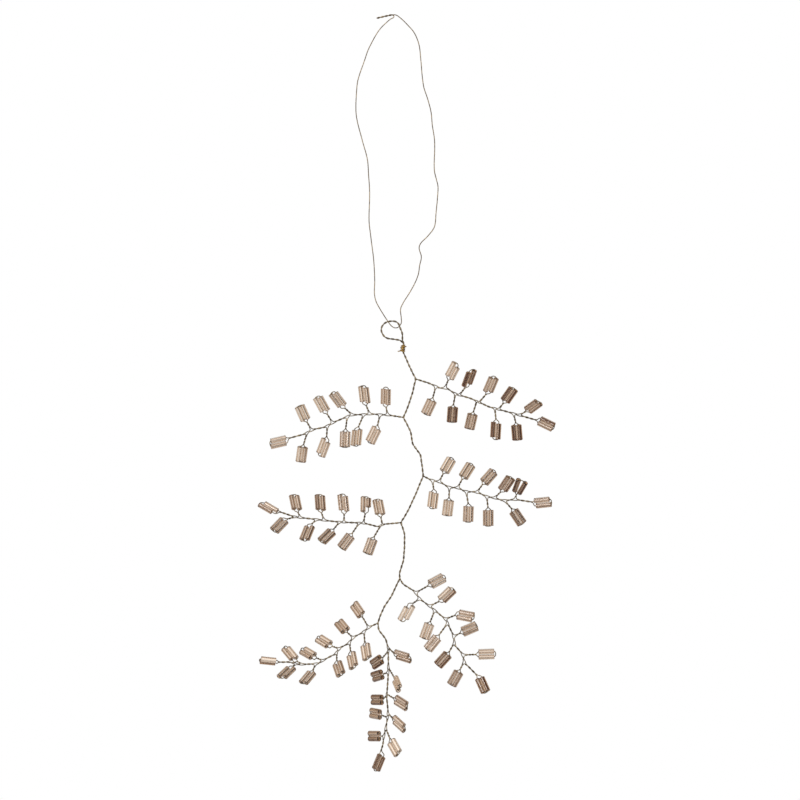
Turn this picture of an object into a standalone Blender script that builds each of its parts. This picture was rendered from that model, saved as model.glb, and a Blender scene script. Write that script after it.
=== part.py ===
"""Hanging branch ornament of twisted wire and glass bugle beads.

The ornament hangs in the XZ plane and its front faces -Y. The origin is the top of the hanger loop.
Seven branches leave a zig-zag stem. Each branch wire makes eleven leaflets, and each leaflet is a stalk that
opens into a hairpin with one bead on each leg. The beads of a leaflet lie side by side as one pair.
"""

import math
from collections import namedtuple

import bmesh
import bpy
from mathutils import Matrix, Vector

MM = 0.001

# Glass beads: six-sided tubes, measured across their flats.
BEAD_LENGTH = 6.4 * MM
BEAD_DIAMETER = 2.2 * MM
BEAD_BORE = 1.0 * MM
BEAD_SIDES = 6
PAIR_LAP = 0.04 * MM

# Wire: a single strand, the twisted pair that it makes, the binding and the hanger.
STRAND = 0.4 * MM
TWISTED_PAIR = 0.8 * MM
BINDING_WIRE = 0.4 * MM
HANGER_WIRE = 0.4 * MM
PAIR_SIDES = 6
STRAND_SIDES = 4

# Clearances between pieces, and the space between two strands of one wire.
ROOT_GAP = 0.3 * MM
EYE_GAP = 0.3 * MM
BINDING_GAP = 0.2 * MM
STRAND_GAP = 0.1 * MM

# Hairpin of a leaflet: where the stalk opens, how straight it meets a bead, and the loop past the beads.
# At least the named share of a stalk stays twisted, however short it is.
FORK_LENGTH = 1.3 * MM
LEAST_TWISTED_SHARE = 0.25
STRAIGHT_ENTRY = 0.25 * MM
LOOP_HEIGHT = 0.5 * MM
LOOP_FLAT = 0.5

# Eye binding.
BINDING_TURNS = 4.25
BINDING_PITCH = 0.62 * MM
BINDING_TOP = -134.9
BINDING_TAIL = [(2.8, -137.5), (1.5, -137.5)]
POINTS_PER_TURN = 8

WELD_DISTANCE = 0.001 * MM

# Junctions of the branches with the stem, as (x, z) in millimetres.
TOP_RIGHT = (8.8, -148.8)
TOP_LEFT = (4.0, -164.6)
MIDDLE_RIGHT = (11.9, -188.6)
MIDDLE_LEFT = (3.0, -207.7)
LOW_RIGHT = (2.3, -230.6)
STEM_END = (-6.6, -248.9)

# Eye at the top of the stem. Its cut end lies behind the stem in the neck and crosses forward to the lower run.
NECK_X = 3.8
EYE_END = [(NECK_X, -137.2)]
EYE_CROSSING = [(NECK_X, -134.3), (2.6, -133.1), (0.3, -132.6)]
EYE = [
    (-2.8, -132.1), (-4.2, -131.1), (-5.2, -128.9), (-4.9, -127.3), (-3.7, -125.9), (-1.8, -125.2), (0.3, -125.2),
    (1.6, -125.9), (2.9, -128.8), (3.4, -130.3), (3.5, -132.9), (3.9, -134.2), (NECK_X, -137.7),
]
STEM = [
    (4.5, -139.4), (6.1, -143.1), TOP_RIGHT,
    (7.7, -154.1), (6.1, -159.1), TOP_LEFT,
    (6.8, -170.5), (7.7, -175.4), (10.8, -180.0), (11.6, -184.9), MIDDLE_RIGHT,
    (9.1, -195.6), (6.0, -202.3), MIDDLE_LEFT,
    (4.3, -212.5), (4.3, -217.8), (3.9, -223.0), (2.3, -228.5), LOW_RIGHT,
    (0.9, -233.7), (-1.0, -237.7), (-3.9, -242.1), (-5.6, -245.8), STEM_END,
]

# Hanger loop. The left run goes down in front of the eye and the right run comes up behind it.
HANGER_STUB = [(-7.1, -0.9), (-3.6, -0.1), (-0.8, 0.5)]
HANGER_LEFT = [
    (0.0, -0.2), (-1.6, -1.4), (-6.0, -5.7), (-10.4, -13.5), (-12.0, -18.0), (-14.8, -26.4), (-15.3, -30.3),
    (-15.6, -39.0), (-15.2, -42.4), (-13.0, -51.0), (-10.9, -58.9), (-10.4, -65.4), (-10.0, -71.7),
    (-10.2, -84.5), (-9.6, -89.7), (-8.3, -100.3), (-7.9, -108.7), (-8.0, -114.0), (-7.4, -116.9),
    (-5.5, -120.5),
]
HANGER_FRONT = [(-2.3, -125.5), (-1.6, -126.5)]
HANGER_BIGHT = [(-0.5, -127.5), (0.6, -127.9)]
HANGER_BACK = [(1.7, -127.6), (2.5, -126.8), (3.0, -125.8)]
HANGER_RIGHT = [
    (3.0, -124.1), (2.7, -120.1), (3.4, -118.3), (6.6, -113.1), (8.7, -109.2), (10.0, -105.8), (10.5, -102.4),
    (11.2, -98.7), (10.3, -94.9), (10.9, -93.3), (13.7, -90.4), (16.4, -86.8), (16.9, -85.0), (17.2, -81.1),
    (17.8, -74.8), (18.0, -69.6), (17.3, -66.7), (16.6, -63.6), (16.6, -50.8), (15.7, -44.7), (15.2, -39.5),
    (13.7, -33.7), (12.3, -29.5), (11.7, -25.8), (11.0, -18.0), (10.2, -11.6), (8.3, -6.9), (5.5, -3.6),
    (2.6, -0.8), (0.8, 0.4),
]
BIGHT_DEPTH_SHARE = 1 / 3
SWING_PIVOT = (0.0, -127.8)

# A leaflet: its place along the branch, the stalk's bearing and length, and the heading and lean of its beads.
# Lengths are in millimetres. Bearing and heading are degrees in the XZ plane from +X. Lean tips the far end
# towards the front. Slides move the left and the right bead outwards on their legs. Spin turns the pair about
# its own axis, with the right bead going back. Share is the right bead's part of a full length.
Leaflet = namedtuple("Leaflet", "place bearing stalk heading lean slides spin share", defaults=((0, 0), 0, 1))
Branch = namedtuple("Branch", "junction rachis leaflets")

BRANCHES = {
    "end": Branch(
        STEM_END,
        [(0.4, -2.7), (3.2, -6.7), (4.2, -10.3), (4.3, -17.2), (4.1, -23.4), (3.6, -30.3), (4.1, -35.7),
         (4.0, -38.5), (3.2, -43.1), (2.3, -47.2), (2.1, -49.4), (1.1, -53.2)],
        [Leaflet(11.1, -42, 4.2, -17, 25, (0, 1.0), 35), Leaflet(12.5, -130, 6.7, -145, -49, (0.6, 0)),
         Leaflet(19.1, -60, 9.0, -67, 51, (0, 0), 60), Leaflet(21.2, -159, 4.7, -162, -54),
         Leaflet(30.2, -30, 5.0, -32, 35, (0, 0.4), 25), Leaflet(30.8, -137, 4.3, -179, -52),
         Leaflet(38.2, -42, 3.6, -42, 30, (0, 0.8), 45), Leaflet(39.8, 160, 5.3, 171, -54, (0, 0.5)),
         Leaflet(44.2, -68, 6.6, -60, 30, (0, 0.5), 20), Leaflet(47.6, -178, 2.9, -179, -50),
         Leaflet(53.7, -80, 1.9, -112, -20, (1.0, 0), -40)]),
    "top_right": Branch(
        TOP_RIGHT,
        [(5.1, -1.6), (10.0, -3.7), (12.5, -3.7), (16.6, -6.2), (22.6, -8.0), (30.1, -11.4), (38.1, -13.6),
         (50.3, -17.1)],
        [Leaflet(8.9, -105, 6.2, -115, -15), Leaflet(12.8, 68, 4.7, 62, 20, (0.6, 0), 0, 0.87),
         Leaflet(17.7, -100, 6.0, -94, -20), Leaflet(19.4, 52, 5.2, 70, 26, (0, 1.4), 30),
         Leaflet(27.0, -107, 6.0, -103, -20), Leaflet(28.1, 50, 5.8, 67, 20, (0, 0.6)),
         Leaflet(35.0, -84, 5.6, -93, -5, (0.7, 0)), Leaflet(36.6, 53, 4.5, 55, 20, (0, 0.3)),
         Leaflet(43.0, -77, 5.2, -85, -20), Leaflet(45.4, 30, 4.6, 36, 32, (0, 0.4), 25),
         Leaflet(52.8, -6, 1.1, -26, 15, (0.4, 0), 20)]),
    "top_left": Branch(
        TOP_LEFT,
        [(-6.5, 1.0), (-13.2, 1.4), (-21.6, 1.0), (-27.8, -1.6), (-32.3, -3.9), (-37.2, -5.0), (-40.8, -6.8),
         (-47.7, -8.7)],
        [Leaflet(6.7, 101, 4.2, 89, 0, (0.3, 0), -25), Leaflet(9.8, -103, 5.7, -116, -10, (0.4, 0)),
         Leaflet(14.1, 111, 4.9, 97, 12, (0.8, 0)), Leaflet(16.5, -113, 6.7, -96, -10, (0, 0.5)),
         Leaflet(21.2, 138, 5.2, 127, 10, (0.8, 0), 20), Leaflet(23.4, -97, 6.3, -92, 10),
         Leaflet(29.9, 122, 5.6, 119, 10, (0.6, 0)), Leaflet(32.4, -94, 5.8, -111, -15, (1.0, 0)),
         Leaflet(39.1, 120, 5.2, 114, 18), Leaflet(41.2, -107, 6.6, -98, -20),
         Leaflet(49.1, -140, 1.3, -167, 10, (0.4, 0))]),
    "middle_right": Branch(
        MIDDLE_RIGHT,
        [(3.9, -1.9), (6.6, -2.3), (10.8, -4.7), (14.1, -4.8), (17.6, -6.4), (22.1, -6.6), (26.1, -8.4),
         (29.2, -9.0), (33.2, -10.1), (37.7, -9.6), (45.5, -10.8)],
        [Leaflet(4.3, -82, 4.6, -97, -5, (0.5, 0), -20), Leaflet(7.1, 63, 5.1, 60, -25),
         Leaflet(11.9, -92, 5.5, -97, -15), Leaflet(15.3, 62, 5.5, 58, -25),
         Leaflet(19.2, -81, 6.0, -92, 0), Leaflet(23.6, 54, 5.3, 48, -22),
         Leaflet(28.0, -84, 5.6, -90, 0), Leaflet(31.2, 45, 4.9, 56, 22, (0, 0.4)),
         Leaflet(35.5, -49, 5.7, -56, -10), Leaflet(39.8, 76, 3.9, 65, 38),
         Leaflet(47.2, -35, 0.9, 6, 15, (0, 0.6))]),
    "middle_left": Branch(
        MIDDLE_LEFT,
        [(-7.1, -0.7), (-9.5, -1.6), (-15.7, -0.2), (-25.1, 0.2), (-34.1, 1.2), (-43.5, 2.3), (-50.4, 4.6)],
        [Leaflet(7.8, 102, 4.6, 101, -25, (0.6, 0)), Leaflet(8.7, -120, 6.6, -110, 15),
         Leaflet(15.9, 79, 5.4, 89, -25, (0, 2.0), 0, 0.6), Leaflet(17.6, -124, 6.5, -127, 12),
         Leaflet(23.9, 88, 4.4, 96, -10, (0.8, 0)), Leaflet(25.7, -129, 5.4, -136, 28, (0, 0.6)),
         Leaflet(32.1, 108, 4.7, 94, -25, (0.6, 0)), Leaflet(35.2, -136, 4.1, -112, 28, (0, 1.0)),
         Leaflet(41.9, 113, 3.8, 102, -28, (0.7, 0)), Leaflet(44.0, -165, 4.9, -134, 25, (0, 0.6)),
         Leaflet(50.6, 185, 1.7, 150, -20, (1.4, 0), 45)]),
    "low_right": Branch(
        LOW_RIGHT,
        [(1.5, -2.3), (6.3, -5.5), (8.1, -8.2), (14.1, -12.8), (19.0, -16.9), (22.1, -23.6), (22.6, -27.2),
         (26.0, -31.4), (26.4, -34.3), (32.1, -40.1)],
        [Leaflet(9.0, 29, 7.2, 28, -20, (0, 0.4)), Leaflet(11.9, -145, 4.7, -118, -20, (0, 1.7)),
         Leaflet(17.0, 27, 5.5, 44, 15, (0, 0.6)), Leaflet(19.7, -111, 6.2, -110, -12),
         Leaflet(25.4, 22, 5.5, -11, 15, (0.6, 0)), Leaflet(27.3, -126, 7.2, -129, 0),
         Leaflet(33.3, 27, 4.2, 23, -12), Leaflet(35.9, -119, 5.8, -132, -20),
         Leaflet(42.1, 2, 6.4, 2, 0), Leaflet(45.0, -117, 5.0, -119, -20),
         Leaflet(52.6, -45, 1.6, -66, 20, (0.4, 0), 25)]),
    "low_left": Branch(
        STEM_END,
        [(-3.8, -1.8), (-5.8, -3.6), (-10.3, -6.0), (-11.6, -8.0), (-16.0, -10.5), (-16.9, -12.3),
         (-21.4, -14.7), (-24.9, -16.7), (-30.3, -16.9), (-32.9, -16.9), (-36.5, -16.0), (-41.4, -16.0)],
        [Leaflet(4.2, 121, 7.0, 125, -33, (0, 0), -25), Leaflet(6.8, -85, 6.1, -81, 31, (0, 0.5), 25),
         Leaflet(11.9, 138, 5.8, 130, -46, (0.3, 0)), Leaflet(14.4, -83, 5.4, -78, 36, (0, 1.0), 20),
         Leaflet(19.4, 161, 4.9, 149, -40, (1.7, 0), -20), Leaflet(21.4, -89, 5.4, -71, 44, (0, 1.0)),
         Leaflet(27.9, 158, 4.7, 151, -40, (1.9, 0), -25), Leaflet(31.2, -114, 4.3, -130, 32, (0, 0.4), 35),
         Leaflet(36.8, 148, 3.9, 130, -33, (1.8, 0), -30), Leaflet(39.4, -138, 2.6, -137, 38, (0, 1.4), 30),
         Leaflet(46.6, 172, 0.9, 174, 0, (0.3, 0), -60)]),
}

# The pairs nearest the stem are one body with their branch wire, and the rest are separate pieces.
JOINED_PAIRS = 4

# Derived sizes.
PAIR_SPACING = BEAD_DIAMETER - PAIR_LAP
NECK_DEPTH = TWISTED_PAIR + STRAND_GAP
STALK_OFFSET = (STRAND + STRAND_GAP) / 2
HANGER_DEPTH = (TWISTED_PAIR + HANGER_WIRE) / 2 + EYE_GAP
BIGHT_DEPTH = HANGER_DEPTH * BIGHT_DEPTH_SHARE
HANGER_STUB_DEPTH = (HANGER_WIRE + STRAND_GAP) / 2


def clear_scene():
    for thing in list(bpy.data.objects):
        bpy.data.objects.remove(thing, do_unlink=True)


def new_collection(name, parent):
    collection = bpy.data.collections.new(name)
    parent.children.link(collection)
    return collection


def finish(name, color, roughness, metallic):
    material = bpy.data.materials.new(name)
    material.use_nodes = True
    shader = material.node_tree.nodes["Principled BSDF"]
    shader.inputs["Base Color"].default_value = (*color, 1.0)
    shader.inputs["Roughness"].default_value = roughness
    shader.inputs["Metallic"].default_value = metallic
    return material


def in_plane(point, depth=0.0):
    """Point of the XZ plane given in millimetres, moved back by a depth in metres."""
    return Vector((point[0] * MM, depth, point[1] * MM))


def direction(bearing, lean=0.0):
    """Unit vector at a bearing in the XZ plane, leaning towards the front."""
    turn = math.radians(bearing)
    tip = math.radians(lean)
    return Vector((math.cos(turn) * math.cos(tip), -math.sin(tip), math.sin(turn) * math.cos(tip)))


def point_along(points, distance):
    """Point at a distance along a run of straight pieces."""
    for start, end in zip(points, points[1:]):
        length = (end - start).length
        if distance <= length:
            return start.lerp(end, distance / length)
        distance -= length
    return points[-1]


def pivot(name, position, parent=None):
    """Empty on a joint's axis, placed in world coordinates under its parent."""
    empty = bpy.data.objects.new(name, None)
    empty.parent = parent
    empty.location = position
    if parent:
        empty.location = position - world_place(parent)
    parts.objects.link(empty)
    return empty


def world_place(empty):
    place = empty.location.copy()
    while empty.parent:
        empty = empty.parent
        place += empty.location
    return place


def wire(name, points, diameter, sides, parent, material, collection):
    """Round wire as a bevelled curve through world points, with its origin on the parent's pivot.

    A bevel resolution of zero has four sides, and each step adds two.
    """
    curve = bpy.data.curves.new(name, "CURVE")
    curve.dimensions = "3D"
    curve.bevel_depth = diameter / 2
    curve.bevel_resolution = (sides - 4) // 2
    curve.use_fill_caps = True
    curve.materials.append(material)
    spline = curve.splines.new("POLY")
    spline.points.add(len(points) - 1)
    spline.use_smooth = True
    origin = world_place(parent)
    for spline_point, point in zip(spline.points, points):
        spline_point.co = (*(point - origin), 1.0)
    thing = bpy.data.objects.new(name, curve)
    thing.parent = parent
    collection.objects.link(thing)
    return thing


def wire_as_mesh(curve_object):
    """Closed mesh object that takes the place of a wire curve."""
    bpy.context.view_layer.update()
    depsgraph = bpy.context.evaluated_depsgraph_get()
    mesh = bpy.data.meshes.new_from_object(curve_object.evaluated_get(depsgraph))
    weld = bmesh.new()
    weld.from_mesh(mesh)
    bmesh.ops.remove_doubles(weld, verts=weld.verts, dist=WELD_DISTANCE)
    bmesh.ops.recalc_face_normals(weld, faces=weld.faces)
    weld.to_mesh(mesh)
    weld.free()
    name = curve_object.name
    parent = curve_object.parent
    collection = curve_object.users_collection[0]
    place = curve_object.matrix_world.copy()
    bpy.data.objects.remove(curve_object, do_unlink=True)
    solid = bpy.data.objects.new(name, mesh)
    solid.parent = parent
    collection.objects.link(solid)
    solid.matrix_world = place
    return solid


def mark_cutter(thing):
    thing.hide_render = True
    thing.display_type = "WIRE"


def six_sided_rod(name, across_flats, length, collection):
    """Rod along Z from its near end, with two flats facing +X and -X."""
    shape = bmesh.new()
    corner_radius = across_flats / 2 / math.cos(math.pi / BEAD_SIDES)
    bmesh.ops.create_cone(
        shape, cap_ends=True, segments=BEAD_SIDES, radius1=corner_radius, radius2=corner_radius, depth=length)
    bmesh.ops.translate(shape, verts=shape.verts, vec=(0, 0, length / 2))
    mesh = bpy.data.meshes.new(name)
    shape.to_mesh(mesh)
    shape.free()
    thing = bpy.data.objects.new(name, mesh)
    collection.objects.link(thing)
    return thing


def cutter_rod(name, across_flats, length, place, collection):
    """Six-sided rod at a place in the world that is only cut from or joined to a piece."""
    rod = six_sided_rod(name, across_flats, length, collection)
    rod.matrix_world = place
    mark_cutter(rod)
    return rod


def boolean(target, operation, other):
    modifier = target.modifiers.new(operation.lower(), "BOOLEAN")
    modifier.operation = operation
    modifier.solver = "EXACT"
    modifier.object = other


def leaflet_frame(leaflet, rachis):
    """Foot on the branch, near end of the beads, and the matrix that lays a pair there."""
    foot = point_along(rachis, leaflet.place * MM)
    near_end = foot + direction(leaflet.bearing, leaflet.lean) * leaflet.stalk * MM
    axis = direction(leaflet.heading, leaflet.lean)
    side = Matrix.Rotation(math.radians(leaflet.spin), 3, axis) @ direction(leaflet.heading - 90)
    turn = Matrix((side, axis.cross(side), axis)).transposed()
    return foot, near_end, Matrix.LocRotScale(near_end, turn, None)


def bead_spans(leaflet):
    """Near and far end of the left and the right bead, measured along the pair from the leaflet's near end."""
    left, right = (slide * MM for slide in leaflet.slides)
    return (left, left + BEAD_LENGTH), (right, right + BEAD_LENGTH * leaflet.share)


def bead_seats(leaflet, lay):
    """Place and length of the left and the right bead."""
    return [(lay @ Matrix.Translation((side * PAIR_SPACING / 2, 0, start)), end - start)
            for side, (start, end) in zip((-1, 1), bead_spans(leaflet))]


def hairpin_points(leaflet, rachis):
    """One strand from the branch up the stalk, through a bead, round the loop and back down the other."""
    foot, near_end, lay = leaflet_frame(leaflet, rachis)
    side = lay.col[0].to_3d()
    stalk = near_end - foot
    fork = foot + stalk * max(LEAST_TWISTED_SHARE, 1 - FORK_LENGTH / stalk.length)
    half = PAIR_SPACING / 2
    (left_start, left_end), (right_start, right_end) = bead_spans(leaflet)
    top = max(left_end, right_end) + LOOP_HEIGHT
    out = [
        foot + side * STALK_OFFSET,
        fork + side * STALK_OFFSET,
        lay @ Vector((half, 0, right_start - STRAIGHT_ENTRY)),
        lay @ Vector((half, 0, right_end + STRAIGHT_ENTRY)),
        lay @ Vector((half * LOOP_FLAT, 0, top)),
    ]
    back = [
        lay @ Vector((-half * LOOP_FLAT, 0, top)),
        lay @ Vector((-half, 0, left_end + STRAIGHT_ENTRY)),
        lay @ Vector((-half, 0, left_start - STRAIGHT_ENTRY)),
        fork - side * STALK_OFFSET,
        foot - side * STALK_OFFSET,
    ]
    return out + back


def root_setback(heading, neighbours):
    """How far from its junction a branch starts, to keep the root gap to each wire that leaves there."""
    radius = TWISTED_PAIR / 2
    setback = ROOT_GAP
    for neighbour in neighbours:
        spread = heading.angle(neighbour)
        if spread < math.pi / 2:
            needed = (radius + ROOT_GAP + radius * math.cos(spread)) / math.sin(spread)
        else:
            needed = ROOT_GAP + radius * math.sin(spread)
        setback = max(setback, needed)
    return setback


def wires_at(junction, name):
    """Directions of the other wires at a junction: the stem's two runs, or its end and the end branch."""
    place = STEM.index(junction)
    here = in_plane(junction)
    leaving = [in_plane(STEM[place - 1]) - here]
    if junction is not STEM_END:
        leaving.append(in_plane(STEM[place + 1]) - here)
    elif name != "end":
        leaving.append(in_plane(BRANCHES["end"].rachis[0]))
    return leaving


def rachis_points(name, branch):
    """World points of a branch's main wire, from its root beside the stem."""
    here = in_plane(branch.junction)
    first = in_plane(branch.rachis[0])
    setback = root_setback(first, wires_at(branch.junction, name))
    return [here + first.normalized() * setback] + [here + in_plane(point) for point in branch.rachis]


def build_branch(name, branch, stem_pivot):
    """Branch wire with its leaflets, and the bead pairs that it carries."""
    route = rachis_points(name, branch)
    root = pivot(name + "_root", route[0], stem_pivot)
    joined = new_collection(name + "_joined", cutters)
    body = wire_as_mesh(wire(name + "_wire", route, TWISTED_PAIR, PAIR_SIDES, root, brass, parts))
    whole = [in_plane(branch.junction)] + route[1:]
    for number, leaflet in enumerate(branch.leaflets, 1):
        bends = hairpin_points(leaflet, whole)
        strand = wire(f"{name}_hairpin_{number}", bends, STRAND, STRAND_SIDES, root, brass, joined)
        mark_cutter(wire_as_mesh(strand))
        seats = bead_seats(leaflet, leaflet_frame(leaflet, whole)[2])
        if number <= JOINED_PAIRS:
            add_joined_pair(f"{name}_rod_{number}", seats, joined)
        else:
            add_bead_pair(f"{name}_beads_{number}", seats, root)
    return body, joined


def join_leaflets(body, joined):
    """Make a branch wire one body with its hairpins and its joined pairs."""
    union = body.modifiers.new("leaflets", "BOOLEAN")
    union.operation = "UNION"
    union.solver = "EXACT"
    union.operand_type = "COLLECTION"
    union.collection = joined


def add_joined_pair(name, seats, collection):
    """Pair of solid rods that becomes one body with the branch wire."""
    for place, length in seats:
        cutter_rod(name, BEAD_DIAMETER, length, place, collection)


def add_bead_pair(name, seats, root):
    """Two bead tubes side by side as one body, each with its open bore."""
    (left_place, left_length), (right_place, right_length) = seats
    beads = six_sided_rod(name, BEAD_DIAMETER, left_length, parts)
    beads.parent = root
    beads.rotation_euler = left_place.to_euler()
    beads.location = left_place.translation - world_place(root)
    beads.data.materials.append(glass)
    boolean(beads, "UNION", cutter_rod(name + "_right", BEAD_DIAMETER, right_length, right_place, cutters))
    for place, length in seats:
        bore_start = place @ Matrix.Translation((0, 0, -length / 2))
        boolean(beads, "DIFFERENCE", cutter_rod(name + "_bore", BEAD_BORE, length * 2, bore_start, cutters))


def build_stem(stem_pivot):
    """Eye and stem, bent from one twisted pair."""
    route = [in_plane(point, NECK_DEPTH) for point in EYE_END]
    route += sloping_run(EYE_CROSSING, NECK_DEPTH, 0.0)
    route += [in_plane(point) for point in EYE + STEM]
    wire("stem_wire", route, TWISTED_PAIR, PAIR_SIDES, stem_pivot, brass, parts)


def build_binding(stem_pivot):
    """Turns of wire round the two runs at the neck of the eye, ending in a short cut tail."""
    chord_allowance = math.cos(math.pi / POINTS_PER_TURN)
    reach = (BINDING_GAP + (TWISTED_PAIR + BINDING_WIRE) / 2) / chord_allowance
    half_depth = NECK_DEPTH / 2 + reach
    middle = Vector((NECK_X * MM, NECK_DEPTH / 2, BINDING_TOP * MM))
    points = []
    for step in range(round(BINDING_TURNS * POINTS_PER_TURN) + 1):
        turn = 2 * math.pi * step / POINTS_PER_TURN
        drop = BINDING_PITCH * step / POINTS_PER_TURN
        points.append(middle + Vector((reach * math.cos(turn), -half_depth * math.sin(turn), -drop)))
    tail = [in_plane(point, -reach) for point in BINDING_TAIL]
    wire("eye_binding", points + tail, BINDING_WIRE, STRAND_SIDES, stem_pivot, gold, parts)


def build_hanger(hang_point):
    """Fine wire from the stub, down in front of the eye, through it and up behind, back to the stub."""
    runs_down = [in_plane(point, -HANGER_STUB_DEPTH) for point in HANGER_STUB]
    runs_down += sloping_run(HANGER_LEFT, -HANGER_STUB_DEPTH, -HANGER_DEPTH)
    runs_down += [in_plane(point, -HANGER_DEPTH) for point in HANGER_FRONT]
    bight = sloping_run(HANGER_BIGHT, -BIGHT_DEPTH, BIGHT_DEPTH)
    runs_up = [in_plane(point, HANGER_DEPTH) for point in HANGER_BACK]
    runs_up += sloping_run(HANGER_RIGHT, HANGER_DEPTH, HANGER_STUB_DEPTH)
    runs_up += [in_plane(point, HANGER_STUB_DEPTH) for point in reversed(HANGER_STUB)]
    route = runs_down + bight + runs_up
    wire("hanger_wire", route, HANGER_WIRE, STRAND_SIDES, hang_point, hanger_metal, parts)


def sloping_run(points, start_depth, end_depth):
    """Points whose depth changes evenly from the first to the last."""
    last = len(points) - 1
    return [in_plane(point, start_depth + (end_depth - start_depth) * step / last)
            for step, point in enumerate(points)]


clear_scene()
parts = new_collection("branch_ornament", bpy.context.scene.collection)
cutters = new_collection("cutters", bpy.context.scene.collection)
brass = finish("antique_brass_wire", (0.22, 0.17, 0.10), 0.42, 1.0)
gold = finish("gold_binding_wire", (0.52, 0.34, 0.12), 0.35, 1.0)
hanger_metal = finish("hanger_wire_metal", (0.33, 0.24, 0.14), 0.4, 1.0)
glass = finish("champagne_glass", (0.58, 0.45, 0.35), 0.12, 0.0)

hang_point = pivot("hang_point", Vector((0, 0, 0)))
swing = pivot("ornament_swing", in_plane(SWING_PIVOT), hang_point)
build_hanger(hang_point)
build_stem(swing)
build_binding(swing)
branch_wires = [build_branch(name, branch, swing) for name, branch in BRANCHES.items()]
for branch_wire, leaflet_solids in branch_wires:
    join_leaflets(branch_wire, leaflet_solids)
bpy.context.view_layer.update()
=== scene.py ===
import bisect
import math
from collections import namedtuple

import bpy
from mathutils import Matrix, Vector


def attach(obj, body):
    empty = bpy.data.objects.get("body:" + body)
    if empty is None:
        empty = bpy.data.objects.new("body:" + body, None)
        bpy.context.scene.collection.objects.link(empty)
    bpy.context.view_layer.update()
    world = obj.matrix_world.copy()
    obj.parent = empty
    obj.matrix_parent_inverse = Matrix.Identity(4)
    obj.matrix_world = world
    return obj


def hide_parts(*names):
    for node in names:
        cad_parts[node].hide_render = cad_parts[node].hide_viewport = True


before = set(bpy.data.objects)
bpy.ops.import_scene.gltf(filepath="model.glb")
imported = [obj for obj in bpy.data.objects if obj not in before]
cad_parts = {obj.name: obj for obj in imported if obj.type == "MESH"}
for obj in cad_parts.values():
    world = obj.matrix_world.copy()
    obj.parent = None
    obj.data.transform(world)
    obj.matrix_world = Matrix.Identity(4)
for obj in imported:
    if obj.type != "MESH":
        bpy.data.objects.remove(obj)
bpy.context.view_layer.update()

# Looks of the hanging branch ornament. It hangs in the XZ plane and its front faces -Y. Each branch is
# one fine wire, folded at the tip: its two strands are twisted together along the branch, and at every
# leaflet the strand on that side leaves the twist, makes a stalk with two glass beads on a hairpin, and
# comes back.

MM = 0.001
FRONT = Vector((0, -1, 0))
LEFT = -1
RIGHT = 1

# Wires, and the steps between the points of a strand.
STRAND = 0.4 * MM
PAIR_RADIUS = STRAND / 2
HANGER_WIRE = 0.4 * MM
BINDING_WIRE = 0.42 * MM
WIRE_SIDES = 7
STEP = 0.33 * MM
BEND_STEP = 0.14 * MM

# Twisted pairs: the length of a half turn, and the shortest stretches that are twisted or made at all.
HALF_TURN = 2.0 * MM
STALK_HALF_TURN = 1.45 * MM
SHORTEST_TWIST = 0.35 * MM
SHORTEST_RUN = 0.05 * MM

# How far a bend in a twisted pair and in the hanger reaches from its point.
SHORT_BEND = 2.5 * MM
LONG_BEND = 8.0 * MM

# Glass beads. The lining is what lies within a share of the outer radius. Beads differ a little in size.
BEAD_LENGTH = 6.4 * MM
BEAD_DIAMETER = 2.2 * MM
BEAD_BORE = 1.0 * MM
BEAD_RIM = 0.13 * MM
BEAD_SIDES = 12
BEAD_CREASE = math.radians(35)
LINED_RADIUS = 0.55
CORE_SHARE = 0.97
LEAST_SIZE = (0.985, 0.985, 0.975)
MOST_SIZE = (1.0, 1.0, 1.02)

# Leaflet: the opening where it leaves the branch, the fork below the beads, the legs and the loop.
OPENING_REACH = 1.1 * MM
OPENING_HEIGHT = 1.5 * MM
OPENING_BEND = 0.6 * MM
OPENING_BOW = 0.1 * MM
FORK_LENGTH = 1.0 * MM
LEAST_TWISTED = 0.4
LEG_STEP = BEAD_LENGTH / 3
LOOP_STEPS = 6

# Tones of the glass, from clear champagne to smoky brown.
PALE = 0.0
LIGHT = 0.15
FAWN = 0.27
TAN = 0.4
COPPER = 0.52
BROWN = 0.65
UMBER = 0.8
SMOKY = 0.95

# Junctions of the branches with the stem, as (x, z) in millimetres.
TOP_RIGHT = (8.8, -148.8)
TOP_LEFT = (4.0, -164.6)
MIDDLE_RIGHT = (11.9, -188.6)
MIDDLE_LEFT = (3.0, -207.7)
LOW_RIGHT = (2.3, -230.6)
STEM_END = (-6.6, -248.9)

# Eye at the top of the stem. Its cut end lies behind the stem in the neck and crosses forward to the lower
# run. The stem runs a little past the junction at its end.
NECK_X = 3.8
NECK_DEPTH = 0.9 * MM
STEM_LAP = 0.6 * MM
EYE_END = [(NECK_X, -137.2)]
EYE_CROSSING = [(NECK_X, -134.3), (2.6, -133.1), (0.3, -132.6)]
EYE = [
    (-2.8, -132.1), (-4.2, -131.1), (-5.2, -128.9), (-4.9, -127.3), (-3.7, -125.9), (-1.8, -125.2),
    (0.3, -125.2), (1.6, -125.9), (2.9, -128.8), (3.4, -130.3), (3.5, -132.9), (3.9, -134.2),
    (NECK_X, -137.7),
]
STEM = [
    (4.5, -139.4), (6.1, -143.1), TOP_RIGHT,
    (7.7, -154.1), (6.1, -159.1), TOP_LEFT,
    (6.8, -170.5), (7.7, -175.4), (10.8, -180.0), (11.6, -184.9), MIDDLE_RIGHT,
    (9.1, -195.6), (6.0, -202.3), MIDDLE_LEFT,
    (4.3, -212.5), (4.3, -217.8), (3.9, -223.0), (2.3, -228.5), LOW_RIGHT,
    (0.9, -233.7), (-1.0, -237.7), (-3.9, -242.1), (-5.6, -245.8), STEM_END,
]

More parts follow.
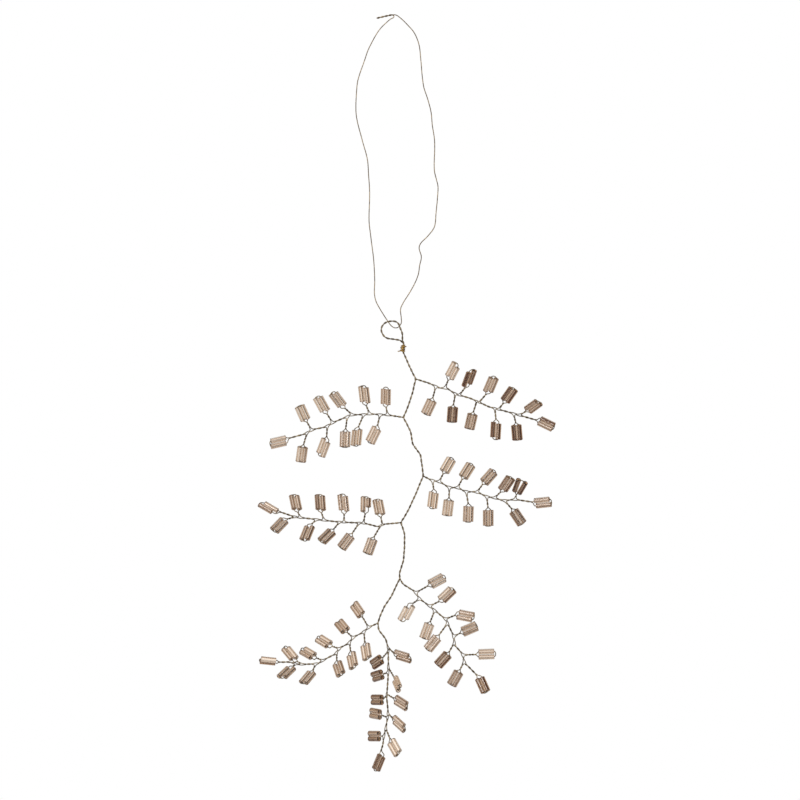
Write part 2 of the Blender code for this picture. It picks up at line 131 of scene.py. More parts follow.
# Hanger loop: its ends are twisted into a stub, and it passes down in front of the eye and up behind it.
HANGER_STUB = [(-7.1, -0.9), (-3.6, -0.1), (-0.8, 0.5)]
HANGER_TOP = HANGER_STUB[-1]
HANGER_LEFT = [
    (0.0, -0.2), (-1.6, -1.4), (-6.0, -5.7), (-10.4, -13.5), (-12.0, -18.0), (-14.8, -26.4),
    (-15.3, -30.3), (-15.6, -39.0), (-15.2, -42.4), (-13.0, -51.0), (-10.9, -58.9), (-10.4, -65.4),
    (-10.0, -71.7), (-10.2, -84.5), (-9.6, -89.7), (-8.3, -100.3), (-7.9, -108.7), (-8.0, -114.0),
    (-7.4, -116.9), (-5.5, -120.5),
]
HANGER_FRONT = [(-2.3, -125.5), (-1.6, -126.5)]
HANGER_BIGHT = [(-0.5, -127.5), (0.6, -127.9)]
HANGER_BACK = [(1.7, -127.6), (2.5, -126.8), (3.0, -125.8)]
HANGER_RIGHT = [
    (3.0, -124.1), (2.7, -120.1), (3.4, -118.3), (6.6, -113.1), (8.7, -109.2), (10.0, -105.8),
    (10.5, -102.4), (11.2, -98.7), (10.3, -94.9), (10.9, -93.3), (13.7, -90.4), (16.4, -86.8),
    (16.9, -85.0), (17.2, -81.1), (17.8, -74.8), (18.0, -69.6), (17.3, -66.7), (16.6, -63.6),
    (16.6, -50.8), (15.7, -44.7), (15.2, -39.5), (13.7, -33.7), (12.3, -29.5), (11.7, -25.8),
    (11.0, -18.0), (10.2, -11.6), (8.3, -6.9), (5.5, -3.6), (2.6, -0.8), (0.8, 0.4),
]
HANGER_DEPTH = 0.9 * MM
HANGER_STUB_DEPTH = 0.2 * MM
BIGHT_DEPTH = HANGER_DEPTH / 3

# Binding: turns round the two runs of the neck, and a cut tail. Top and pitch are in millimetres.
# Looseness is how far the coil stands off, as a share of its reach, on the right and the left by turns.
BINDING_TOP = -134.9
BINDING_PITCH = 0.62
BINDING_TURNS = 4.25
BINDING_TAIL = [(2.8, -137.3), (1.5, -137.5)]
BINDING_REACH = 0.68 * MM
BINDING_STEPS = 20
LOOSENESS = [0.95, 1.2, 1.7, 1.6, 1.0, 1.5, 0.95, 1.8, 0.95, 0.95]

# Point of a strand: the middle line's place and axis, and how far and at what turn the strand stands across.
Sample = namedtuple("Sample", "place across axis turn spread")

# A leaflet: its place along the branch, the stalk's bearing and length, and the heading and lean of its
# beads. Lengths are in millimetres. Bearing and heading are degrees in the XZ plane from +X. Lean tips
# the far end towards the front. Slides move the left and the right bead outwards on their legs. Spin turns
# the pair about its own axis, with the right bead going back. Share is the right bead's part of a full
# length.
LEAFLET_PARTS = "place bearing stalk heading lean slides spin share"
Leaflet = namedtuple("Leaflet", LEAFLET_PARTS, defaults=((0, 0), 0, 1))
Branch = namedtuple("Branch", "junction rachis leaflets")

BRANCHES = {
    "end": Branch(
        STEM_END,
        [(0.4, -2.7), (3.2, -6.7), (4.2, -10.3), (4.3, -17.2), (4.1, -23.4), (3.6, -30.3), (4.1, -35.7),
         (4.0, -38.5), (3.2, -43.1), (2.3, -47.2), (2.1, -49.4), (1.1, -53.2)],
        [Leaflet(11.1, -42, 4.2, -17, 25, (0, 1.0), 35), Leaflet(12.5, -130, 6.7, -145, -49, (0.6, 0)),
         Leaflet(19.1, -60, 9.0, -67, 51, (0, 0), 60), Leaflet(21.2, -159, 4.7, -162, -54),
         Leaflet(30.2, -30, 5.0, -32, 35, (0, 0.4), 25), Leaflet(30.8, -137, 4.3, -179, -52),
         Leaflet(38.2, -42, 3.6, -42, 30, (0, 0.8), 45), Leaflet(39.8, 160, 5.3, 171, -54, (0, 0.5)),
         Leaflet(44.2, -68, 6.6, -60, 30, (0, 0.5), 20), Leaflet(47.6, -178, 2.9, -179, -50),
         Leaflet(53.7, -80, 1.9, -112, -20, (1.0, 0), -40)]),
    "top_right": Branch(
        TOP_RIGHT,
        [(5.1, -1.6), (10.0, -3.7), (12.5, -3.7), (16.6, -6.2), (22.6, -8.0), (30.1, -11.4), (38.1, -13.6),
         (50.3, -17.1)],
        [Leaflet(8.9, -105, 6.2, -115, -15), Leaflet(12.8, 68, 4.7, 62, 20, (0.6, 0), 0, 0.87),
         Leaflet(17.7, -100, 6.0, -94, -20), Leaflet(19.4, 52, 5.2, 70, 26, (0, 1.4), 30),
         Leaflet(27.0, -107, 6.0, -103, -20), Leaflet(28.1, 50, 5.8, 67, 20, (0, 0.6)),
         Leaflet(35.0, -84, 5.6, -93, -5, (0.7, 0)), Leaflet(36.6, 53, 4.5, 55, 20, (0, 0.3)),
         Leaflet(43.0, -77, 5.2, -85, -20), Leaflet(45.4, 30, 4.6, 36, 32, (0, 0.4), 25),
         Leaflet(52.8, -6, 1.1, -26, 15, (0.4, 0), 20)]),
    "top_left": Branch(
        TOP_LEFT,
        [(-6.5, 1.0), (-13.2, 1.4), (-21.6, 1.0), (-27.8, -1.6), (-32.3, -3.9), (-37.2, -5.0), (-40.8, -6.8),
         (-47.7, -8.7)],
        [Leaflet(6.7, 101, 4.2, 89, 0, (0.3, 0), -25), Leaflet(9.8, -103, 5.7, -116, -10, (0.4, 0)),
         Leaflet(14.1, 111, 4.9, 97, 12, (0.8, 0)), Leaflet(16.5, -113, 6.7, -96, -10, (0, 0.5)),
         Leaflet(21.2, 138, 5.2, 127, 10, (0.8, 0), 20), Leaflet(23.4, -97, 6.3, -92, 10),
         Leaflet(29.9, 122, 5.6, 119, 10, (0.6, 0)), Leaflet(32.4, -94, 5.8, -111, -15, (1.0, 0)),
         Leaflet(39.1, 120, 5.2, 114, 18), Leaflet(41.2, -107, 6.6, -98, -20),
         Leaflet(49.1, -140, 1.3, -167, 10, (0.4, 0))]),
    "middle_right": Branch(
        MIDDLE_RIGHT,
        [(3.9, -1.9), (6.6, -2.3), (10.8, -4.7), (14.1, -4.8), (17.6, -6.4), (22.1, -6.6), (26.1, -8.4),
         (29.2, -9.0), (33.2, -10.1), (37.7, -9.6), (45.5, -10.8)],
        [Leaflet(4.3, -82, 4.6, -97, -5, (0.5, 0), -20), Leaflet(7.1, 63, 5.1, 60, -25),
         Leaflet(11.9, -92, 5.5, -97, -15), Leaflet(15.3, 62, 5.5, 58, -25),
         Leaflet(19.2, -81, 6.0, -92, 0), Leaflet(23.6, 54, 5.3, 48, -22),
         Leaflet(28.0, -84, 5.6, -90, 0), Leaflet(31.2, 45, 4.9, 56, 22, (0, 0.4)),
         Leaflet(35.5, -49, 5.7, -56, -10), Leaflet(39.8, 76, 3.9, 65, 38),
         Leaflet(47.2, -35, 0.9, 6, 15, (0, 0.6))]),
    "middle_left": Branch(
        MIDDLE_LEFT,
        [(-7.1, -0.7), (-9.5, -1.6), (-15.7, -0.2), (-25.1, 0.2), (-34.1, 1.2), (-43.5, 2.3), (-50.4, 4.6)],
        [Leaflet(7.8, 102, 4.6, 101, -25, (0.6, 0)), Leaflet(8.7, -120, 6.6, -110, 15),
         Leaflet(15.9, 79, 5.4, 89, -25, (0, 2.0), 0, 0.6), Leaflet(17.6, -124, 6.5, -127, 12),
         Leaflet(23.9, 88, 4.4, 96, -10, (0.8, 0)), Leaflet(25.7, -129, 5.4, -136, 28, (0, 0.6)),
         Leaflet(32.1, 108, 4.7, 94, -25, (0.6, 0)), Leaflet(35.2, -136, 4.1, -112, 28, (0, 1.0)),
         Leaflet(41.9, 113, 3.8, 102, -28, (0.7, 0)), Leaflet(44.0, -165, 4.9, -134, 25, (0, 0.6)),
         Leaflet(50.6, 185, 1.7, 150, -20, (1.4, 0), 45)]),
    "low_right": Branch(
        LOW_RIGHT,
        [(1.5, -2.3), (6.3, -5.5), (8.1, -8.2), (14.1, -12.8), (19.0, -16.9), (22.1, -23.6), (22.6, -27.2),
         (26.0, -31.4), (26.4, -34.3), (32.1, -40.1)],
        [Leaflet(9.0, 29, 7.2, 28, -20, (0, 0.4)), Leaflet(11.9, -145, 4.7, -118, -20, (0, 1.7)),
         Leaflet(17.0, 27, 5.5, 44, 15, (0, 0.6)), Leaflet(19.7, -111, 6.2, -110, -12),
         Leaflet(25.4, 22, 5.5, -11, 15, (0.6, 0)), Leaflet(27.3, -126, 7.2, -129, 0),
         Leaflet(33.3, 27, 4.2, 23, -12), Leaflet(35.9, -119, 5.8, -132, -20),
         Leaflet(42.1, 2, 6.4, 2, 0), Leaflet(45.0, -117, 5.0, -119, -20),
         Leaflet(52.6, -45, 1.6, -66, 20, (0.4, 0), 25)]),
    "low_left": Branch(
        STEM_END,
        [(-3.8, -1.8), (-5.8, -3.6), (-10.3, -6.0), (-11.6, -8.0), (-16.0, -10.5), (-16.9, -12.3),
         (-21.4, -14.7), (-24.9, -16.7), (-30.3, -16.9), (-32.9, -16.9), (-36.5, -16.0), (-41.4, -16.0)],
        [Leaflet(4.2, 121, 7.0, 125, -33, (0, 0), -25), Leaflet(6.8, -85, 6.1, -81, 31, (0, 0.5), 25),
         Leaflet(11.9, 138, 5.8, 130, -46, (0.3, 0)), Leaflet(14.4, -83, 5.4, -78, 36, (0, 1.0), 20),
         Leaflet(19.4, 161, 4.9, 149, -40, (1.7, 0), -20), Leaflet(21.4, -89, 5.4, -71, 44, (0, 1.0)),
         Leaflet(27.9, 158, 4.7, 151, -40, (1.9, 0), -25), Leaflet(31.2, -114, 4.3, -130, 32, (0, 0.4), 35),
         Leaflet(36.8, 148, 3.9, 130, -33, (1.8, 0), -30), Leaflet(39.4, -138, 2.6, -137, 38, (0, 1.4), 30),
         Leaflet(46.6, 172, 0.9, 174, 0, (0.3, 0), -60)]),
}

# Tone of each pair's glass, from the stem to the tip. Two tones are those of the left and the right bead.
TONES = {
    "end": [(TAN, BROWN), (UMBER, BROWN), PALE, BROWN, TAN, BROWN, (FAWN, TAN), TAN, (PALE, LIGHT),
            (BROWN, TAN), (SMOKY, BROWN)],
    "top_right": [(TAN, FAWN), LIGHT, SMOKY, SMOKY, COPPER, (TAN, COPPER), (UMBER, SMOKY), SMOKY, SMOKY,
                  (COPPER, BROWN), (UMBER, COPPER)],
    "top_left": [TAN, (FAWN, LIGHT), (LIGHT, FAWN), LIGHT, (FAWN, LIGHT), (FAWN, TAN), (PALE, LIGHT),
                 (FAWN, LIGHT), PALE, (TAN, LIGHT), (FAWN, LIGHT)],
    "middle_right": [LIGHT, PALE, LIGHT, LIGHT, TAN, (FAWN, TAN), COPPER, (BROWN, UMBER), BROWN, SMOKY,
                     (TAN, COPPER)],
    "middle_left": [FAWN, (TAN, FAWN), (FAWN, COPPER), TAN, TAN, TAN, (BROWN, COPPER), (COPPER, TAN),
                    (COPPER, TAN), TAN, (COPPER, FAWN)],
    "low_right": [LIGHT, PALE, (LIGHT, BROWN), LIGHT, TAN, TAN, (FAWN, TAN), (UMBER, BROWN), FAWN,
                  (COPPER, TAN), UMBER],
    "low_left": [(TAN, FAWN), LIGHT, (TAN, FAWN), FAWN, (FAWN, LIGHT), (TAN, FAWN), (TAN, LIGHT), FAWN,
                 (TAN, LIGHT), FAWN, (SMOKY, PALE)],
}

# Pairs whose legs spread towards the far end, by branch and number: how far each leg goes, in millimetres.
SPLAYS = {("middle_right", 10): 0.45}

# Height of the loop past the beads in millimetres, and the pairs where it is higher, by branch and number.
LOOP_HEIGHT = 0.2
HIGH_LOOPS = {
    ("top_right", 6): 0.5, ("top_left", 1): 0.6, ("low_right", 1): 0.6, ("low_right", 9): 0.6,
    ("middle_right", 2): 0.7, ("middle_right", 4): 0.7, ("middle_right", 6): 0.6,
}

# Pairs of each branch, counted from the stem, that the frame has as one node with the branch wire.
JOINED_PAIRS = 4

# Camera and floor. The floor fades out between two radii.
CAMERA_DISTANCE = 6.0
VIEW_WIDTH = 0.328
VIEW_CENTRE = Vector((2.46 * MM, 0, -157.44 * MM))
FLOOR_HEIGHT = -0.4
FLOOR_RADIUS = 0.62
FLOOR_SIDES = 96
FLOOR_ROUGHNESS = 0.9
FLOOR_FADE = (FLOOR_RADIUS * 0.6, FLOOR_RADIUS * 0.98)

# Lamps: where each stands, how wide it is and its power in watts.
Lamp = namedtuple("Lamp", "place size power")
LAMPS = {
    "key": Lamp((-0.9, -1.3, 0.5), 0.9, 12.0),
    "fill": Lamp((1.1, -1.2, 0.1), 0.9, 6.0),
}

# Light from all round, as glass and metal see it: the front with its dim right, and the backdrop behind.
# The edges are where along Y the backdrop begins and where along X the right dims. Dull surfaces get
# ambient light.
FRONT_LIGHT = 1.15
RIGHT_SHADE = 0.95
BACKDROP_LIGHT = 0.65
AMBIENT_LIGHT = 0.55
BACKDROP_EDGE = (-0.2, 0.4)
RIGHT_EDGE = (0.05, 0.5)

# Colours, as red, green, blue and opacity.
WHITE = (1.0, 1.0, 1.0, 1.0)
WARM_BACKDROP = (1.0, 0.86, 0.72, 1.0)
PALE_FLOOR = (0.9, 0.9, 0.9, 1.0)
CLEAR_GLASS = (0.945, 0.86, 0.78, 1.0)
SMOKED_GLASS = (0.47, 0.285, 0.155, 1.0)
# Painted shade at the mouths of the glass.
GLASS_MOUTH_SHADE = (0.40, 0.23, 0.13, 1.0)
BRIGHT_FOIL = (0.95, 0.88, 0.80, 1.0)
DARK_FOIL = (0.20, 0.105, 0.05, 1.0)
# Painted shade at the mouths of the lining.
FOIL_MOUTH_SHADE = (0.62, 0.40, 0.24, 1.0)
DARK_BRASS = (0.12, 0.09, 0.055, 1.0)
RUBBED_BRASS = (0.33, 0.26, 0.16, 1.0)
DARK_GOLD = (0.14, 0.075, 0.018, 1.0)
RUBBED_GOLD = (0.52, 0.32, 0.09, 1.0)
DARK_HANGER = (0.13, 0.095, 0.055, 1.0)
RUBBED_HANGER = (0.33, 0.25, 0.15, 1.0)

# Patterns are noise from 0 to 1 about a middle. An edge gives the two levels of a soft step.
NOISE_MIDDLE = 0.5

# Wire finish: where the patina is rubbed bright, the grain and the scratches, so many times finer than the
# rubbed patches, and what patina and grain add to the roughness.
RUBBED_EDGE = (0.38, 0.66)
GRAIN_TIMES = 6
GRAIN_SHARE = 0.6
SCRATCH_TIMES = 14
SCRATCH_STRENGTH = 0.25
SCRATCH_DEPTH = 0.03 * MM
PATINA_ROUGHNESS = 0.22
GRAIN_ROUGHNESS = 0.1

# Glass finish: how deep the colour is beside the partner bead and the painted shade it gains on its outer
# side, the clouds in it, stripes of deeper colour along it, the painted shade at the mouths, and the mirror
# lining.
# Painted shade: each bead is darker on its outer side and lighter beside its partner.
AWAY_SHADE_EDGE = (-0.35, 0.55)
BESIDE_DEPTH = 0.5
AWAY_SHADE_DEPTH = 0.55
CLOUD_SCALE = 160
CLOUD_DEPTH = 0.16
STRIPE_SCALE = (5, 5, 0.3)
STRIPE_DRIFT = 100.0
STRIPE_DEPTH = 0.25
# Painted shade at the mouths: where it begins, how deep it is, and what deeper tones add.
MOUTH_EDGE = (0.9, 0.97)
MOUTH_SHADE_DEPTH = 0.3
MOUTH_SHADE_TONE = 0.9
REFRACTION = 1.5
FOIL_DEPTH = 1.25
FOIL_ROUGHNESS = 0.1
MOUTH_ROUGHNESS = 0.5


class Value:
    """Output socket of a node. Arithmetic on it adds Math nodes to its tree."""

    def __init__(self, nodes, node, key=0):
        self.nodes = nodes
        self.node = node
        self.key = key

    @property
    def socket(self):
        return pick(self.node.outputs, self.key)

    def output(self, key):
        return Value(self.nodes, self.node, key)

    def math(self, operation, *values):
        return self.nodes.add("ShaderNodeMath", {"operation": operation}, dict(enumerate(values)))

    def __add__(self, other):
        return self.math("ADD", self, other)

    def __sub__(self, other):
        return self.math("SUBTRACT", self, other)

    def __rsub__(self, other):
        return self.math("SUBTRACT", other, self)

    def __mul__(self, other):
        return self.math("MULTIPLY", self, other)

    def __truediv__(self, other):
        return self.math("DIVIDE", self, other)

    def __abs__(self):
        return self.math("ABSOLUTE", self)

    __radd__ = __add__
    __rmul__ = __mul__

    def least(self, other):
        return self.math("MINIMUM", self, other)

    def most(self, other):
        return self.math("MAXIMUM", self, other)

    def over(self, limit):
        return self.math("GREATER_THAN", self, limit)

    def under(self, limit):
        return self.math("LESS_THAN", self, limit)

    def ramp(self, low, high):
        """0 below low, 1 above high, and a soft step between."""
        sockets = {"Value": self, "From Min": low, "From Max": high}
        return self.nodes.add("ShaderNodeMapRange", {"interpolation_type": "SMOOTHSTEP"}, sockets)


def pick(sockets, key):
    """Socket by name, or by number among those that are in use."""
    usable = [socket for socket in sockets if socket.enabled]
    if isinstance(key, int):
        return usable[key]
    return next(socket for socket in usable if socket.name == key)


class Nodes:
    """Node tree that is filled by calls."""

    def __init__(self, tree):
        self.tree = tree

    def add(self, kind, settings=None, sockets=None):
        """Value of a new node. Its settings are made first, then its sockets get values or links."""
        node = self.tree.nodes.new(kind)
        for name, setting in (settings or {}).items():
            setattr(node, name, setting)
        for key, value in (sockets or {}).items():
            self.feed(pick(node.inputs, key), value)
        return Value(self, node)

    def feed(self, socket, value):
        if isinstance(value, Value):
            self.tree.links.new(value.socket, socket)
        else:
            socket.default_value = value

    def blend(self, factor, first, second):
        """Colour between two colours."""
        sockets = {"Factor": factor, "A": first, "B": second}
        return self.add("ShaderNodeMix", {"data_type": "RGBA"}, sockets)

    def attribute(self, name, key="Fac"):
        return self.add("ShaderNodeAttribute", {"attribute_name": name}).output(key)

    def place(self):
        """Place on the object, in its own coordinates."""
        return self.add("ShaderNodeTexCoord").output("Object")

    def noise(self, where, scale, detail=2.0):
        return self.add("ShaderNodeTexNoise", None, {"Vector": where, "Scale": scale, "Detail": detail})

    def vector(self, operation, sockets):
        return self.add("ShaderNodeVectorMath", {"operation": operation}, sockets)

    def radius(self, where):
        """Distance of a place from the Z axis."""
        flat = self.vector("MULTIPLY", {0: where, 1: (1, 1, 0)})
        return self.vector("LENGTH", {0: flat}).output("Value")

    def surface(self, factor, first, second):
        """Makes the material's surface one shader where the factor is 0 and another where it is 1."""
        mixed = self.add("ShaderNodeMixShader", None, {0: factor, 1: first, 2: second})
        self.feed(self.tree.nodes["Material Output"].inputs["Surface"], mixed)


def new_material(name):
    """Material with a Principled shader, and its nodes."""
    material = bpy.data.materials.new(name)
    material.use_nodes = True
    shader = material.node_tree.nodes["Principled BSDF"]
    return material, Nodes(material.node_tree), shader


def worn_wire(name, dark, bright, patch, roughness):
    """Wire metal with a dark patina that is rubbed bright in patches."""
    material, nodes, shader = new_material(name)
    where = nodes.place()
    rubbed = nodes.noise(where, patch, detail=3.0).ramp(*RUBBED_EDGE)
    grain = nodes.noise(where, patch * GRAIN_TIMES)
    scratches = nodes.noise(where, patch * SCRATCH_TIMES, detail=4.0)
    brightness = rubbed * (GRAIN_SHARE + grain * GRAIN_SHARE)
    nodes.feed(shader.inputs["Base Color"], nodes.blend(brightness, dark, bright))
    dullness = roughness + PATINA_ROUGHNESS * (1 - rubbed) + GRAIN_ROUGHNESS * grain
    nodes.feed(shader.inputs["Roughness"], dullness)
    bump = nodes.add("ShaderNodeBump", None, {
        "Strength": SCRATCH_STRENGTH, "Distance": SCRATCH_DEPTH, "Height": scratches})
    nodes.feed(shader.inputs["Normal"], bump)
    shader.inputs["Metallic"].default_value = 1.0
    return material


def champagne_glass():
    """Clear glass with a mirror lining in the bore, deeper with tone; painted shade on each bead's outer
    side and at the mouths.
    """
    material, nodes, shader = new_material("champagne_glass")
    tone = nodes.attribute("tone")
    seat = nodes.attribute("seat", "Vector")
    parts = nodes.add("ShaderNodeSeparateXYZ", None, {0: seat})
    # Painted shade: darker on the bead's outer side, lighter beside the partner bead.
    away_shade = (parts.output("X") * nodes.attribute("hand")).ramp(*AWAY_SHADE_EDGE)
    where = nodes.place()
    cloud = nodes.noise(where, CLOUD_SCALE)
    drift = nodes.vector("SCALE", {0: where, "Scale": STRIPE_DRIFT})
    drawn_out = nodes.vector("MULTIPLY_ADD", {0: seat, 1: STRIPE_SCALE, 2: drift})
    stripes = nodes.noise(drawn_out, scale=1)
    depth = tone * (BESIDE_DEPTH + AWAY_SHADE_DEPTH * away_shade)
    depth += CLOUD_DEPTH * (cloud - NOISE_MIDDLE) + STRIPE_DEPTH * (stripes - NOISE_MIDDLE)
    depth = depth.most(0).least(1)
    body = nodes.blend(depth, CLEAR_GLASS, SMOKED_GLASS)
    # Painted shade: glass and lining darker at the mouths, more so in deeper tones.
    mouth = abs(parts.output("Z")).ramp(*MOUTH_EDGE)
    ends = mouth * (MOUTH_SHADE_DEPTH + MOUTH_SHADE_TONE * tone).least(1)
    nodes.feed(shader.inputs["Base Color"], nodes.blend(ends, body, GLASS_MOUTH_SHADE))
    shader.inputs["Roughness"].default_value = 0.0
    shader.inputs["Transmission Weight"].default_value = 1.0
    shader.inputs["IOR"].default_value = REFRACTION
    # The lining follows the same depth of colour, painted shade included.
    foil = nodes.blend((FOIL_DEPTH * depth).least(1), BRIGHT_FOIL, DARK_FOIL)
    lining = nodes.add("ShaderNodeBsdfPrincipled", None, {
        "Metallic": 1.0, "Roughness": FOIL_ROUGHNESS + MOUTH_ROUGHNESS * mouth,
        "Base Color": nodes.blend(ends, foil, FOIL_MOUTH_SHADE)})
    nodes.surface(nodes.radius(seat).under(LINED_RADIUS), Value(nodes, shader), lining)
    return material


def new_tree(name, sockets):
    """Geometry Nodes tree with named inputs, the nodes of it, and its inputs' values."""
    tree = bpy.data.node_groups.new(name, "GeometryNodeTree")
    tree.interface.new_socket("Geometry", in_out="INPUT", socket_type="NodeSocketGeometry")
    for socket, kind in sockets.items():
        tree.interface.new_socket(socket, in_out="INPUT", socket_type=kind)
    tree.interface.new_socket("Geometry", in_out="OUTPUT", socket_type="NodeSocketGeometry")
    nodes = Nodes(tree)
    return tree, nodes, nodes.add("NodeGroupInput")


def named(nodes, name, kind="FLOAT"):
    """Value that the points of a seed mesh carry."""
    return nodes.add("GeometryNodeInputNamedAttribute", {"data_type": kind}, {"Name": name})


def finish_tree(nodes, given, shape):
    """Ends a tree with a shape, as plain mesh in the tree's material."""
    whole = nodes.add("GeometryNodeRealizeInstances", None, {0: shape})
    covered = nodes.add("GeometryNodeSetMaterial", None, {0: whole, "Material": given.output("Material")})
    nodes.add("NodeGroupOutput", None, {0: covered})


def strand_tree():
    """Wire swept along strands. Each point stands off its middle line, turned about that line."""
    tree, nodes, given = new_tree("twisted_strands", {
        "Wire Radius": "NodeSocketFloat", "Sides": "NodeSocketInt", "Material": "NodeSocketMaterial"})
    turned = nodes.add("ShaderNodeVectorRotate", {"rotation_type": "AXIS_ANGLE"}, {
        "Vector": named(nodes, "across", "FLOAT_VECTOR"), "Axis": named(nodes, "axis", "FLOAT_VECTOR"),
        "Angle": named(nodes, "turn")})
    offset = nodes.vector("SCALE", {"Vector": turned, "Scale": named(nodes, "spread")})
    placed = nodes.add("GeometryNodeSetPosition", None, {"Geometry": given, "Offset": offset})
    path = nodes.add("GeometryNodeMeshToCurve", None, {0: placed})
    profile = nodes.add("GeometryNodeCurvePrimitiveCircle", None, {
        "Resolution": given.output("Sides"), "Radius": given.output("Wire Radius")})
    swept = nodes.add("GeometryNodeCurveToMesh", None, {
        "Curve": path, "Profile Curve": profile, "Fill Caps": True})
    smooth = nodes.add("GeometryNodeSetShadeSmooth", None, {0: swept})
    finish_tree(nodes, given, smooth)
    return tree


def bead_tree():
    """Glass tube on every point, with eased rims and a core that closes the bore just inside its mouths.

    It lies along the point's axis and is cut to the point's share of the length.
    """
    tree, nodes, given = new_tree("bugle_beads", {
        "Diameter": "NodeSocketFloat", "Bore": "NodeSocketFloat", "Length": "NodeSocketFloat",
        "Rim": "NodeSocketFloat", "Sides": "NodeSocketInt", "Seed": "NodeSocketInt",
        "Material": "NodeSocketMaterial"})
    diameter, bore, length = (given.output(name) for name in ("Diameter", "Bore", "Length"))
    path = nodes.add("GeometryNodeCurvePrimitiveCircle", None, {
        "Resolution": given.output("Sides"), "Radius": (diameter + bore) / 4})
    wall = nodes.add("GeometryNodeCurvePrimitiveQuadrilateral", None, {
        "Width": (diameter - bore) / 2, "Height": length})
    eased = nodes.add("GeometryNodeFilletCurve", {"mode": "POLY"}, {
        "Curve": wall, "Radius": given.output("Rim"), "Count": 1})
    tube = nodes.add("GeometryNodeCurveToMesh", None, {"Curve": path, "Profile Curve": eased})
    core = nodes.add("GeometryNodeMeshCylinder", {"fill_type": "NGON"}, {
        "Vertices": given.output("Sides"), "Radius": bore / 2 * CORE_SHARE,
        "Depth": length * CORE_SHARE})
    lined = nodes.add("GeometryNodeJoinGeometry", None, {0: tube})
    nodes.feed(lined.node.inputs[0], core)
    half_size = nodes.add("ShaderNodeCombineXYZ", None, {
        0: diameter / 2, 1: diameter / 2, 2: length / 2})
    seat = nodes.vector("DIVIDE", {0: nodes.add("GeometryNodeInputPosition"), 1: half_size})
    marking = {"data_type": "FLOAT_VECTOR", "domain": "POINT"}
    marked = nodes.add("GeometryNodeStoreNamedAttribute", marking, {
        "Geometry": lined, "Name": "seat", "Value": seat})
    creases = nodes.add("GeometryNodeInputMeshEdgeAngle").over(BEAD_CREASE)
    creased = nodes.add("GeometryNodeSetShadeSmooth", {"domain": "EDGE"}, {
        0: marked, "Selection": creases, "Shade Smooth": False})
    lie = nodes.add("FunctionNodeAxesToRotation", {"primary_axis": "Z", "secondary_axis": "X"}, {
        0: named(nodes, "axis", "FLOAT_VECTOR"), 1: named(nodes, "side", "FLOAT_VECTOR")})
    uneven = nodes.add("FunctionNodeRandomValue", {"data_type": "FLOAT_VECTOR"}, {
        "Min": LEAST_SIZE, "Max": MOST_SIZE, "Seed": given.output("Seed")})
    cut = nodes.add("ShaderNodeCombineXYZ", None, {0: 1.0, 1: 1.0, 2: named(nodes, "share")})
    beads = nodes.add("GeometryNodeInstanceOnPoints", None, {
        "Points": given, "Instance": creased, "Rotation": lie,
        "Scale": nodes.vector("MULTIPLY", {0: uneven, 1: cut})})
    finish_tree(nodes, given, beads)
    return tree


def grow(name, seed_mesh, tree, values):
    """Piece whose plain mesh is what a tree makes of a seed mesh."""
    piece = bpy.data.objects.new(name, seed_mesh)
    bpy.context.scene.collection.objects.link(piece)
    modifier = piece.modifiers.new(tree.name, "NODES")
    modifier.node_group = tree
    for item in tree.interface.items_tree:
        if item.in_out == "INPUT" and item.name in values:
            modifier[item.identifier] = values[item.name]
    bpy.context.view_layer.update()
    depsgraph = bpy.context.evaluated_depsgraph_get()
    mesh = bpy.data.meshes.new_from_object(piece.evaluated_get(depsgraph), depsgraph=depsgraph)
    piece.modifiers.remove(modifier)
    piece.data = mesh
    mesh.name = name
    mesh.materials.clear()
    mesh.materials.append(values["Material"])
    return piece


def seed(points, edges, attributes):
    """Mesh of points and edges that carries values for a tree."""
    mesh = bpy.data.meshes.new("seed")
    mesh.from_pydata(points, edges, [])
    for name, (kind, values) in attributes.items():
        attribute = mesh.attributes.new(name, kind, "POINT")
        if kind == "FLOAT":
            attribute.data.foreach_set("value", values)
        else:
            attribute.data.foreach_set("vector", [part for value in values for part in value])
    return mesh


def bare(place):
    """Point of a strand given by its own place."""
    return Sample(place, FRONT, FRONT, 0.0, 0.0)


def wire_piece(name, chains, radius, material):
    """Piece of wire along each chain of points."""
    samples = [sample for chain in chains for sample in chain]
    edges = []
    first = 0
    for chain in chains:
        edges += [(first + step, first + step + 1) for step in range(len(chain) - 1)]
        first += len(chain)
    mesh = seed([sample.place for sample in samples], edges, {
        "across": ("FLOAT_VECTOR", [sample.across for sample in samples]),
        "axis": ("FLOAT_VECTOR", [sample.axis for sample in samples]),
        "turn": ("FLOAT", [sample.turn for sample in samples]),
        "spread": ("FLOAT", [sample.spread for sample in samples])})
    return grow(name, mesh, STRANDS, {"Wire Radius": radius, "Sides": WIRE_SIDES, "Material": material})


